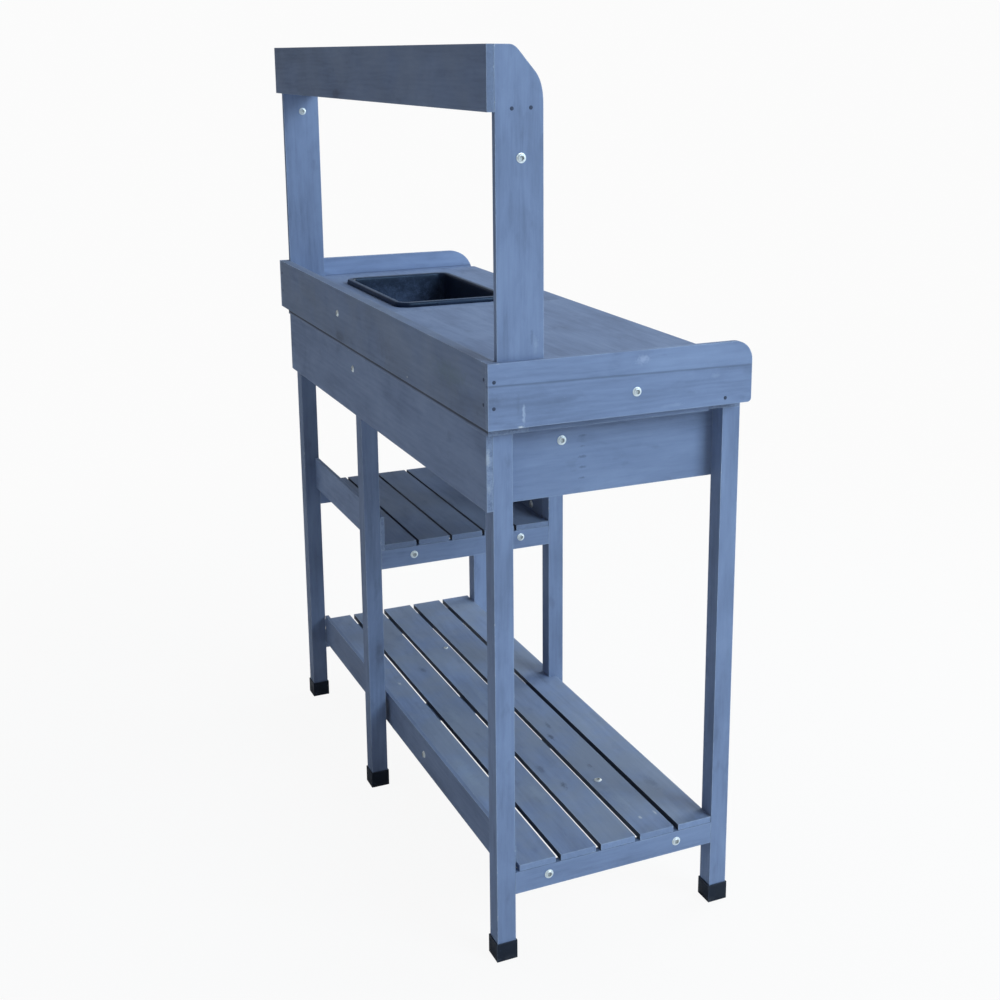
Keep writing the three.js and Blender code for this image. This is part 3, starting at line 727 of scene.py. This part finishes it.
def screw_head(name, centre, outward, radius, height, turn_by):
    """Low button head on a thin washer, with a hexagon socket; sizes in millimetres."""
    r = radius * MM
    h = height * MM
    washer = [circle(r, -0.25 * MM), circle(r, WASHER * 0.7), circle(r * 0.965, WASHER)]
    button = [
        circle(r * 0.80, WASHER), circle(r * 0.785, WASHER + 0.25 * MM),
        circle(r * 0.76, h * 0.55), circle(r * 0.68, h * 0.84), circle(r * 0.60, h * 0.97),
        circle(r * 0.54, h),
    ]
    socket = [
        circle(r * 0.50, h, hexagon=True), circle(r * 0.47, h * 0.92, hexagon=True),
        circle(r * 0.45, h * 0.35, hexagon=True), circle(r * 0.14, h * 0.24),
    ]
    bm = loft(washer + button + socket)
    # Painted shade: the socket's faces take the darker copy of the zinc
    for face in bm.faces:
        if max(math.hypot(v.co.x, v.co.y) for v in face.verts) < r * SOCKET_SHARE:
            face.material_index = 1
    bm.transform(Matrix.Rotation(turn_by, 4, "Z"))
    place(bm, Vector(centre), outward)
    piece = new_piece(name, bm, zinc)
    piece.data.materials.append(zinc_socket_painted_shade)
    split = piece.modifiers.new("crisp", "EDGE_SPLIT")
    split.split_angle = math.radians(50)
    return piece


def nail_head(name, centre, outward):
    """Nail set a little proud in a dimple of torn stain."""
    outline = (
        (1.30, -0.15), (1.22, 0.10), (1.0, 0.28), (0.86, 0.16), (0.78, 0.22), (0.30, 0.34),
    )
    bm = loft([circle(NAIL_RADIUS * share, up * MM, NAIL_SIDES) for share, up in outline])
    place(bm, Vector(centre), outward)
    return new_piece(name, bm, dark_steel)


# Height of the bolts through the aprons, and how far in front of the legs' back they are
APRON_BOLT_UP, APRON_BOLT_IN = 0.8056, 0.1205
# The bolts through each shelf's cross rails: name, how far in front and height
RAIL_BOLTS = {
    "lower": (("back", 0.0860, 0.1280), ("front", 0.3095, 0.1270)),
    "upper": (("back", 0.0855, 0.4520), ("front", 0.3000, 0.4545)),
}
# Sizes of the heads in millimetres
BOLT_RADIUS, BOLT_HEIGHT, SLAT_SCREW_HEIGHT = 7.2, 2.6, 2.0
SMALLER_HEADS = {
    "back_panel_bolt": 6.0, "apron_back_bolt": 6.0, "slat_screw_near": 6.6,
    "lower_guard_bolt": 6.2,
}
# Name of each side, the corner of a board's box that is outermost there, and its direction
SIDES = (("left", 0, LEFT), ("right", 1, RIGHT))


def outer_face(stem, side, corner):
    """X of the outer face of the board of this name at one side."""
    return span(f"{stem}_{side}")[corner].x


screws = [
    (
        f"apron_{side}_bolt_back",
        (outer_face("apron", side, corner), depth(APRON_BOLT_IN), APRON_BOLT_UP),
        outward,
    )
    for side, corner, outward in SIDES
]
screws += [
    ("back_panel_bolt", (from_left(0.6830), panel_back, 0.8975), BACK),
    ("apron_back_bolt", (from_left(0.6290), back_apron_face, 0.8050), BACK),
    ("lower_guard_bolt", (from_left(0.4080), span("lower_guard")[1].y, 0.1480), BACK),
]
for shelf, holes in RAIL_BOLTS.items():
    for side, corner, outward in SIDES:
        face = outer_face(f"{shelf}_cross_rail", side, corner)
        screws += [
            (f"{shelf}_rail_{side}_bolt_{end}", (face, depth(inward), height), outward)
            for end, inward, height in holes
        ]
screws += [
    ("upper_guard_front_bolt", (from_left(0.6777), span("upper_guard_front")[1].y, 0.4889), BACK),
    ("slat_screw_near", (from_left(0.1853), depth(0.2620), slat_top), UP),
]
for name, centre, outward in screws:
    height = SLAT_SCREW_HEIGHT if outward == UP else BOLT_HEIGHT
    radius = SMALLER_HEADS.get(name, BOLT_RADIUS)
    screw_head(name, centre, outward, radius, height, rng.uniform(0, 1))

CAD_BOLTS = {
    "end_panel_bolt_left": (end_left, LEFT),
    "end_panel_bolt_right": (end_right, RIGHT),
    "upright_bolt_left": (upright_left, LEFT),
    "upright_bolt_right": (span("upright_right")[0].x, LEFT),
}
for name, (face, outward) in CAD_BOLTS.items():
    low, high = span(name)
    middle = (low + high) / 2
    centre = (face, middle.y, middle.z)
    head = screw_head(f"{name}_head", centre, outward, (high.z - low.z) / 2 / MM, 2.8, 0.5)
    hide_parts(name)
far_screw_at = (from_left(0.8156), depth(0.2245), slat_top)
screw_head("slat_screw_far", far_screw_at, UP, 4.6, 1.6, 0.3)

upright_right = span("upright_right")[1].x
nails = [
    ("end_nail_back_top", (end_left, depth(-0.0095), 0.9160), LEFT),
    ("end_nail_back_low", (end_left, depth(-0.0100), 0.8790), LEFT),
    ("end_nail_front", (end_left, depth(0.3590), 0.8580), LEFT),
    ("panel_nail_top", (from_left(-0.0150), panel_back, 0.9180), BACK),
    ("panel_nail_low", (from_left(-0.0130), panel_back, 0.8820), BACK),
    ("upright_nail_back", (upright_left, depth(0.0230), 1.2805), LEFT),
    ("upright_nail_front", (upright_left, depth(0.0505), 1.2815), LEFT),
    ("far_nail_back_top", (end_right, depth(-0.0095), 0.9160), RIGHT),
    ("far_nail_back_low", (end_right, depth(-0.0100), 0.8790), RIGHT),
    ("far_nail_front", (end_right, depth(0.3500), 0.8600), RIGHT),
    ("far_panel_nail_top", (from_left(1.0750), panel_back, 0.9180), BACK),
    ("far_panel_nail_low", (from_left(1.0750), panel_back, 0.8820), BACK),
    ("far_upright_nail_back", (upright_right, depth(0.0230), 1.2805), RIGHT),
    ("far_upright_nail_front", (upright_right, depth(0.0505), 1.2815), RIGHT),
]
for name, centre, outward in nails:
    nail_head(name, centre, outward)

# ---------------------------------------------------------------- basin
BASIN_CORNER = 26.0 * MM
LEAST_CORNER = 5.0 * MM
CORNER_STEPS = 8
# Inset of the last loops, which the flat middle of the floor closes, in millimetres
FLOOR_INSET = 96.0


def rounded_loop(inset, height):
    """Rounded rectangle the basin's size less an inset, in millimetres, on every side."""
    half_x = (basin_high.x - basin_low.x) / 2 - inset * MM
    half_y = (basin_high.y - basin_low.y) / 2 - inset * MM
    corner = max(BASIN_CORNER - inset * MM, LEAST_CORNER)
    points = []
    for quarter, (sx, sy) in enumerate(((1, 1), (-1, 1), (-1, -1), (1, -1))):
        for i in range(CORNER_STEPS + 1):
            angle = math.pi / 2 * (quarter + i / CORNER_STEPS)
            points.append((
                basin_middle.x + sx * (half_x - corner) + corner * math.cos(angle),
                basin_middle.y + sy * (half_y - corner) + corner * math.sin(angle),
                height,
            ))
    return points


rim = basin_high.z
skirt_foot = rim - 8.8 * MM
wall_top = rim - 10.0 * MM
floor_z = basin_low.z
# Insets in millimetres and heights: down the walls' outside, from the middle of the underside
OUTSIDE = [
    (FLOOR_INSET, floor_z + 0.4 * MM), (70.0, floor_z + 0.4 * MM), (36.0, floor_z + 0.4 * MM),
    (31.0, floor_z), (27.0, floor_z), (22.0, floor_z + 3.4 * MM), (19.4, floor_z + 10.0 * MM),
    (17.6, floor_z + 21.0 * MM), (9.6, wall_top - 4.0 * MM), (9.2, rim - 7.4 * MM),
    (8.2, rim - 3.2 * MM), (3.4, rim - 2.9 * MM), (2.2, rim - 4.2 * MM),
    (1.9, skirt_foot + 0.3 * MM),
]
# Up the outside of the skirt, over the rolled rim and down the inside to the floor
INSIDE = [
    (0.4, skirt_foot), (0.0, skirt_foot + 0.9 * MM), (0.4, rim - 3.6 * MM),
    (1.2, rim - 1.6 * MM), (2.6, rim - 0.4 * MM), (4.4, rim), (8.6, rim - 0.1 * MM),
    (10.2, rim - 0.7 * MM), (11.4, rim - 2.2 * MM), (12.0, rim - 5.0 * MM),
    (12.2, wall_top - 2.0 * MM), (20.0, floor_z + 22.0 * MM), (21.4, floor_z + 13.0 * MM),
    (24.6, floor_z + 7.0 * MM), (30.0, floor_z + 4.0 * MM), (37.0, floor_z + 3.2 * MM),
    (70.0, floor_z + 2.8 * MM), (FLOOR_INSET, floor_z + 2.4 * MM),
]
shell = loft([rounded_loop(inset, height) for inset, height in OUTSIDE + INSIDE])
basin = new_piece("basin_shell", shell, plastic, "basin")
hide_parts("sink_basin")

LUG_SIZE = (2.0 * MM, 5.0 * MM, 4.2 * MM)


def lug(name, x, y):
    """Small moulded lug with rounded corners, on the basin's skirt."""
    centre = (x, y, skirt_foot + 2.4 * MM)
    bm = bmesh.new()
    bmesh.ops.create_cube(bm, size=1.0)
    bm.transform(Matrix.Translation(centre) @ Matrix.Diagonal((*LUG_SIZE, 1.0)))
    bmesh.ops.bevel(
        bm, geom=bm.edges[:], offset=min(LUG_SIZE) * 0.28, segments=3, affect="EDGES", profile=0.6,
    )
    return new_piece(name, bm, plastic, "basin")


lug("basin_lug_near", basin_low.x + 0.6 * MM, depth(0.1580))
lug("basin_lug_far", basin_high.x - 0.6 * MM, depth(0.1900))


def drain(name):
    """Shallow moulded drain boss with a raised ring and middle, in the middle of the floor."""
    foot = floor_z + 2.6 * MM
    outline = (
        (24, 0.0), (23, 1.1), (21, 1.5), (18.5, 1.3), (17.5, 0.5), (5, 0.3), (4, 1.2), (1, 1.5),
    )
    bm = loft([circle(radius * MM, foot + up * MM, 32) for radius, up in outline])
    bm.transform(Matrix.Translation((basin_middle.x, basin_middle.y, 0)))
    return new_piece(name, bm, plastic, "basin")


drain("basin_drain_boss")

# ---------------------------------------------------------------- floor, backdrop and light
FLOOR_REACH = 60.0
FLOOR_DROP = 0.2 * MM
WHITE = (1.0, 1.0, 1.0, 1.0)
BACKDROP_GLOW = 0.968

floor_mesh = bmesh.new()
bmesh.ops.create_circle(floor_mesh, cap_ends=True, radius=FLOOR_REACH, segments=96)
floor_data = bpy.data.meshes.new("floor")
floor_mesh.to_mesh(floor_data)
floor_mesh.free()
floor = bpy.data.objects.new("floor", floor_data)
floor.location.z = -FLOOR_DROP
scene.collection.objects.link(floor)

# Pale floor that takes the bench's shadow and fades into the backdrop's white
g = new_graph("pale_floor")
seen = g.add("ShaderNodeLightPath").outputs["Is Camera Ray"]
paper = g.add("ShaderNodeBsdfDiffuse", {"Color": (0.86, 0.86, 0.86, 1.0)}).outputs[0]
glow = g.add("ShaderNodeEmission", {"Color": WHITE, "Strength": BACKDROP_GLOW}).outputs[0]
fade = g.remap(g.vector("LENGTH", g.object_place()), 0.6, 2.6, 0.955, 1.0)
lit = g.add("ShaderNodeMixShader", {"Fac": fade, 1: paper, 2: glow}).outputs[0]
surface = g.add("ShaderNodeMixShader", {"Fac": seen, 1: paper, 2: lit}).outputs[0]
g.add("ShaderNodeOutputMaterial", {"Surface": surface})
floor_data.materials.append(g.owner)

world = bpy.data.worlds.new("studio")
scene.world = world
g = Graph(world)
seen = g.add("ShaderNodeLightPath").outputs["Is Camera Ray"]
sockets = {"Color": (0.88, 0.93, 1.0, 1.0), "Strength": 0.33}
fill = g.add("ShaderNodeBackground", sockets).outputs[0]
sockets = {"Color": WHITE, "Strength": BACKDROP_GLOW}
backdrop = g.add("ShaderNodeBackground", sockets).outputs[0]
surface = g.add("ShaderNodeMixShader", {"Fac": seen, 1: fill, 2: backdrop}).outputs[0]
g.add("ShaderNodeOutputWorld", {"Surface": surface})


def softbox(name, at, aim, size, power, colour):
    """Square area light at one place, aimed at another; size in metres and power in watts."""
    data = bpy.data.lights.new(name, "AREA")
    data.shape = "SQUARE"
    data.size = size
    data.energy = power
    data.color = colour
    lamp = bpy.data.objects.new(name, data)
    lamp.location = at
    lamp.rotation_euler = (Vector(aim) - Vector(at)).to_track_quat("-Z", "Y").to_euler()
    scene.collection.objects.link(lamp)


softbox("key", (-7.5, -4.4, 5.0), (0.0, 0.0, 0.7), 4.6, 790.0, (0.68, 0.85, 1.0))
softbox("overhead", (0.3, -0.6, 4.6), (0.0, 0.0, 0.6), 3.0, 47.0, (0.90, 0.97, 1.0))
softbox("front", (0.7, -4.2, 2.0), (0.0, 0.0, 0.2), 2.4, 130.0, (0.95, 1.0, 0.98))
softbox("fill_back", (-1.6, 3.8, 1.8), (0.0, 0.2, 0.7), 3.0, 7.0, (1.0, 0.96, 0.96))

scene.view_settings.view_transform = "Standard"
scene.view_settings.look = "None"
scene.view_settings.exposure = 0.0
